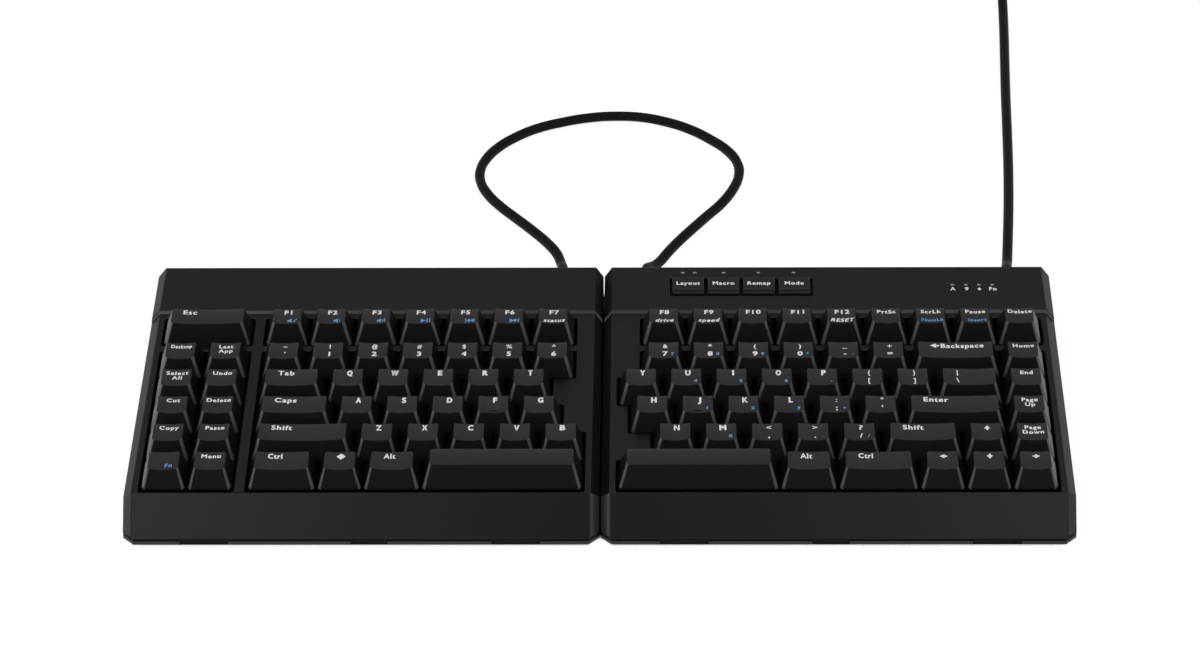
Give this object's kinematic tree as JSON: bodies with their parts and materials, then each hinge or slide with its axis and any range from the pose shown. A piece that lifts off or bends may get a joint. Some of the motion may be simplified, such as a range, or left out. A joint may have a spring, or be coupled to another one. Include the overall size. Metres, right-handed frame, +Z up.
{
  "type": "split keyboard",
  "caption": "Flat split keyboard: two halves of sprung keys on a pivot tether splay open at the front, joined by a link cable, with a coiled USB lead.",
  "frame": {"origin": "on the desk, under the middle of the two closed halves", "axes": "+X to the typist's right, +Y away from the typist, +Z up"},
  "size_m": [0.3957, 0.547, 0.0287],
  "materials": {
    "case": "fine texture",
    "case_floor": "fine texture",
    "plate": "plain",
    "board": "solder mask",
    "switch": "plain",
    "foot": "plain",
    "screw": "blackened",
    "gland": "satin",
    "light": "frosted",
    "tether": "plain",
    "cable": "satin jacket",
    "plug": "plain",
    "tie": "woven",
    "keycap": "fine texture",
    "button": "satin"
  },
  "bodies": {
    "right_module": {"right_top_case": "case", "right_bottom_case": "case_floor", "right_switch_plate": "plate", "right_circuit_board": "board", "right_switches": "switch", "right_stabilisers": "switch", "right_feet": "foot", "right_screws": "screw", "right_link_gland": "gland", "indicator_lights": "light", "pivot_tether": "tether", "link_cable": "cable", "usb_gland": "gland", "usb_cable": "cable", "usb_coil": "cable", "usb_plug": "plug", "usb_tie": "tie"},
    "left_module": {"left_top_case": "case", "left_bottom_case": "case_floor", "left_switch_plate": "plate", "left_circuit_board": "board", "left_switches": "switch", "left_stabilisers": "switch", "left_feet": "foot", "left_screws": "screw", "left_link_gland": "gland"},
    "escape_key": {"escape_key": "keycap"},
    "tab_key": {"tab_key": "keycap"},
    "caps_key": {"caps_key": "keycap"},
    "left_shift_key": {"left_shift_key": "keycap"},
    "left_control_key": {"left_control_key": "keycap"},
    "system_key": {"system_key": "keycap"},
    "left_alt_key": {"left_alt_key": "keycap"},
    "left_space_bar": {"left_space_bar": "keycap"},
    "left_function_keys": {"left_function_keys": "keycap"},
    "left_number_keys": {"left_number_keys": "keycap"},
    "left_upper_letter_keys": {"left_upper_letter_keys": "keycap"},
    "left_home_letter_keys": {"left_home_letter_keys": "keycap"},
    "left_lower_letter_keys": {"left_lower_letter_keys": "keycap"},
    "outer_hot_keys": {"outer_hot_keys": "keycap"},
    "inner_hot_keys": {"inner_hot_keys": "keycap"},
    "backspace_key": {"backspace_key": "keycap"},
    "backslash_key": {"backslash_key": "keycap"},
    "enter_key": {"enter_key": "keycap"},
    "right_shift_key": {"right_shift_key": "keycap"},
    "right_alt_key": {"right_alt_key": "keycap"},
    "right_control_key": {"right_control_key": "keycap"},
    "right_space_bar": {"right_space_bar": "keycap"},
    "arrow_keys": {"arrow_keys": "keycap"},
    "navigation_keys": {"navigation_keys": "keycap"},
    "right_function_keys": {"right_function_keys": "keycap"},
    "right_number_keys": {"right_number_keys": "keycap"},
    "right_upper_letter_keys": {"right_upper_letter_keys": "keycap"},
    "right_home_letter_keys": {"right_home_letter_keys": "keycap"},
    "right_lower_letter_keys": {"right_lower_letter_keys": "keycap"},
    "layer_button_1": {"layer_button_1": "button"},
    "layer_button_2": {"layer_button_2": "button"},
    "layer_button_3": {"layer_button_3": "button"},
    "layer_button_4": {"layer_button_4": "button"}
  },
  "joints": [
    {"name": "splay", "type": "hinge", "parent": "right_module", "child": "left_module", "pos_m": [-0.009, 0.08098, 0.003], "axis": [0, 0, -1], "range_deg": [0, 30], "deforming": ["link_cable"]},
    {"name": "escape_key_press", "type": "slide", "parent": "left_module", "child": "escape_key", "axis": [0, 0, -1], "range_m": [0, 0.004], "stiffness_N_per_m": 80, "springref_m": -0.0045},
    {"name": "tab_key_press", "type": "slide", "parent": "left_module", "child": "tab_key", "axis": [0, 0, -1], "range_m": [0, 0.004], "stiffness_N_per_m": 80, "springref_m": -0.0045},
    {"name": "caps_key_press", "type": "slide", "parent": "left_module", "child": "caps_key", "axis": [0, 0, -1], "range_m": [0, 0.004], "stiffness_N_per_m": 80, "springref_m": -0.0045},
    {"name": "left_shift_key_press", "type": "slide", "parent": "left_module", "child": "left_shift_key", "axis": [0, 0, -1], "range_m": [0, 0.004], "stiffness_N_per_m": 80, "springref_m": -0.0045},
    {"name": "left_control_key_press", "type": "slide", "parent": "left_module", "child": "left_control_key", "axis": [0, 0, -1], "range_m": [0, 0.004], "stiffness_N_per_m": 80, "springref_m": -0.0045},
    {"name": "system_key_press", "type": "slide", "parent": "left_module", "child": "system_key", "axis": [0, 0, -1], "range_m": [0, 0.004], "stiffness_N_per_m": 80, "springref_m": -0.0045},
    {"name": "left_alt_key_press", "type": "slide", "parent": "left_module", "child": "left_alt_key", "axis": [0, 0, -1], "range_m": [0, 0.004], "stiffness_N_per_m": 80, "springref_m": -0.0045},
    {"name": "left_space_bar_press", "type": "slide", "parent": "left_module", "child": "left_space_bar", "axis": [0, 0, -1], "range_m": [0, 0.004], "stiffness_N_per_m": 80, "springref_m": -0.0045},
    {"name": "left_function_keys_press", "type": "slide", "parent": "left_module", "child": "left_function_keys", "axis": [0, 0, -1], "range_m": [0, 0.004], "stiffness_N_per_m": 560, "springref_m": -0.0045},
    {"name": "left_number_keys_press", "type": "slide", "parent": "left_module", "child": "left_number_keys", "axis": [0, 0, -1], "range_m": [0, 0.004], "stiffness_N_per_m": 560, "springref_m": -0.0045},
    {"name": "left_upper_letter_keys_press", "type": "slide", "parent": "left_module", "child": "left_upper_letter_keys", "axis": [0, 0, -1], "range_m": [0, 0.004], "stiffness_N_per_m": 400, "springref_m": -0.0045},
    {"name": "left_home_letter_keys_press", "type": "slide", "parent": "left_module", "child": "left_home_letter_keys", "axis": [0, 0, -1], "range_m": [0, 0.004], "stiffness_N_per_m": 400, "springref_m": -0.0045},
    {"name": "left_lower_letter_keys_press", "type": "slide", "parent": "left_module", "child": "left_lower_letter_keys", "axis": [0, 0, -1], "range_m": [0, 0.004], "stiffness_N_per_m": 400, "springref_m": -0.0045},
    {"name": "outer_hot_keys_press", "type": "slide", "parent": "left_module", "child": "outer_hot_keys", "axis": [0, 0, -1], "range_m": [0, 0.004], "stiffness_N_per_m": 400, "springref_m": -0.0045},
    {"name": "inner_hot_keys_press", "type": "slide", "parent": "left_module", "child": "inner_hot_keys", "axis": [0, 0, -1], "range_m": [0, 0.004], "stiffness_N_per_m": 400, "springref_m": -0.0045},
    {"name": "backspace_key_press", "type": "slide", "parent": "right_module", "child": "backspace_key", "axis": [0, 0, -1], "range_m": [0, 0.004], "stiffness_N_per_m": 80, "springref_m": -0.0045},
    {"name": "backslash_key_press", "type": "slide", "parent": "right_module", "child": "backslash_key", "axis": [0, 0, -1], "range_m": [0, 0.004], "stiffness_N_per_m": 80, "springref_m": -0.0045},
    {"name": "enter_key_press", "type": "slide", "parent": "right_module", "child": "enter_key", "axis": [0, 0, -1], "range_m": [0, 0.004], "stiffness_N_per_m": 80, "springref_m": -0.0045},
    {"name": "right_shift_key_press", "type": "slide", "parent": "right_module", "child": "right_shift_key", "axis": [0, 0, -1], "range_m": [0, 0.004], "stiffness_N_per_m": 80, "springref_m": -0.0045},
    {"name": "right_alt_key_press", "type": "slide", "parent": "right_module", "child": "right_alt_key", "axis": [0, 0, -1], "range_m": [0, 0.004], "stiffness_N_per_m": 80, "springref_m": -0.0045},
    {"name": "right_control_key_press", "type": "slide", "parent": "right_module", "child": "right_control_key", "axis": [0, 0, -1], "range_m": [0, 0.004], "stiffness_N_per_m": 80, "springref_m": -0.0045},
    {"name": "right_space_bar_press", "type": "slide", "parent": "right_module", "child": "right_space_bar", "axis": [0, 0, -1], "range_m": [0, 0.004], "stiffness_N_per_m": 80, "springref_m": -0.0045},
    {"name": "arrow_keys_press", "type": "slide", "parent": "right_module", "child": "arrow_keys", "axis": [0, 0, -1], "range_m": [0, 0.004], "stiffness_N_per_m": 320, "springref_m": -0.0045},
    {"name": "navigation_keys_press", "type": "slide", "parent": "right_module", "child": "navigation_keys", "axis": [0, 0, -1], "range_m": [0, 0.004], "stiffness_N_per_m": 320, "springref_m": -0.0045},
    {"name": "right_function_keys_press", "type": "slide", "parent": "right_module", "child": "right_function_keys", "axis": [0, 0, -1], "range_m": [0, 0.004], "stiffness_N_per_m": 720, "springref_m": -0.0045},
    {"name": "right_number_keys_press", "type": "slide", "parent": "right_module", "child": "right_number_keys", "axis": [0, 0, -1], "range_m": [0, 0.004], "stiffness_N_per_m": 480, "springref_m": -0.0045},
    {"name": "right_upper_letter_keys_press", "type": "slide", "parent": "right_module", "child": "right_upper_letter_keys", "axis": [0, 0, -1], "range_m": [0, 0.004], "stiffness_N_per_m": 560, "springref_m": -0.0045},
    {"name": "right_home_letter_keys_press", "type": "slide", "parent": "right_module", "child": "right_home_letter_keys", "axis": [0, 0, -1], "range_m": [0, 0.004], "stiffness_N_per_m": 480, "springref_m": -0.0045},
    {"name": "right_lower_letter_keys_press", "type": "slide", "parent": "right_module", "child": "right_lower_letter_keys", "axis": [0, 0, -1], "range_m": [0, 0.004], "stiffness_N_per_m": 400, "springref_m": -0.0045},
    {"name": "layer_button_1_press", "type": "slide", "parent": "right_module", "child": "layer_button_1", "axis": [0, 0, -1], "range_m": [0, 0.001], "stiffness_N_per_m": 800, "springref_m": -0.0006},
    {"name": "layer_button_2_press", "type": "slide", "parent": "right_module", "child": "layer_button_2", "axis": [0, 0, -1], "range_m": [0, 0.001], "stiffness_N_per_m": 800, "springref_m": -0.0006},
    {"name": "layer_button_3_press", "type": "slide", "parent": "right_module", "child": "layer_button_3", "axis": [0, 0, -1], "range_m": [0, 0.001], "stiffness_N_per_m": 800, "springref_m": -0.0006},
    {"name": "layer_button_4_press", "type": "slide", "parent": "right_module", "child": "layer_button_4", "axis": [0, 0, -1], "range_m": [0, 0.001], "stiffness_N_per_m": 800, "springref_m": -0.0006}
  ]
}
